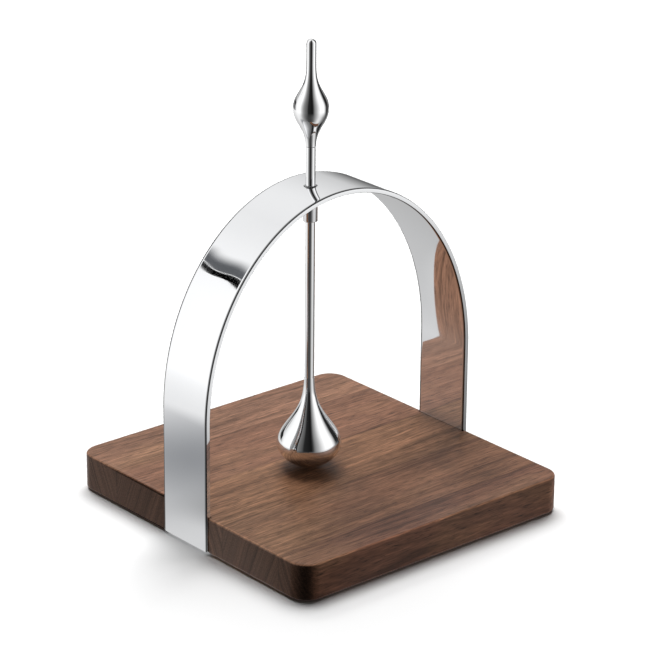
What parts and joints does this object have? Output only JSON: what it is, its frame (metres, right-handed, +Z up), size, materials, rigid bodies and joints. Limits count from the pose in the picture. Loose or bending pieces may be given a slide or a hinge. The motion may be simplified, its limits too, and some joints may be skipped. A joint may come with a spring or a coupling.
{
  "type": "napkin holder with sliding drop weight",
  "caption": "Walnut board with a polished steel arch; a drop-shaped weight on a rod slides through the arch's crown and rests on the board.",
  "frame": {"origin": "on the table, under the middle of the board", "axes": "+X along the arch's span, towards the right foot; +Y across the arch's bar, towards the rear; +Z up"},
  "size_m": [0.202, 0.21, 0.286],
  "materials": {
    "walnut": "oiled walnut, satin, grain along X",
    "polished_steel": "mirror-polished stainless steel",
    "bush_steel": "turned and polished stainless steel",
    "liner_polymer": "dark bearing polymer",
    "zinc_steel": "zinc-plated",
    "insert_brass": "turned brass",
    "pad_rubber": "matt black rubber"
  },
  "bodies": {
    "stand": {"base_board": "walnut", "arch_strip": "polished_steel", "guide_bush": "bush_steel", "fixing_screw_left_front": "zinc_steel", "fixing_screw_left_rear": "zinc_steel", "fixing_screw_right_front": "zinc_steel", "fixing_screw_right_rear": "zinc_steel", "threaded_insert_left_front": "insert_brass", "threaded_insert_left_rear": "insert_brass", "threaded_insert_right_front": "insert_brass", "threaded_insert_right_rear": "insert_brass", "foot_pad_left_front": "pad_rubber", "foot_pad_left_rear": "pad_rubber", "foot_pad_right_front": "pad_rubber", "foot_pad_right_rear": "pad_rubber"},
    "liner": {"bush_liner": "liner_polymer"},
    "plunger": {"guide_rod": "polished_steel", "drop_weight": "polished_steel", "spindle_grip": "polished_steel", "lower_stud": "zinc_steel", "upper_stud": "zinc_steel"}
  },
  "joints": [
    {"name": "liner_spin", "type": "hinge", "parent": "stand", "child": "liner", "pos_m": [-0.008, 0, 0.1774], "axis": [0, 0, 1], "continuous": true},
    {"name": "plunger_lift", "type": "slide", "parent": "liner", "child": "plunger", "axis": [0, 0, 1], "range_m": [0, 0.098]}
  ]
}
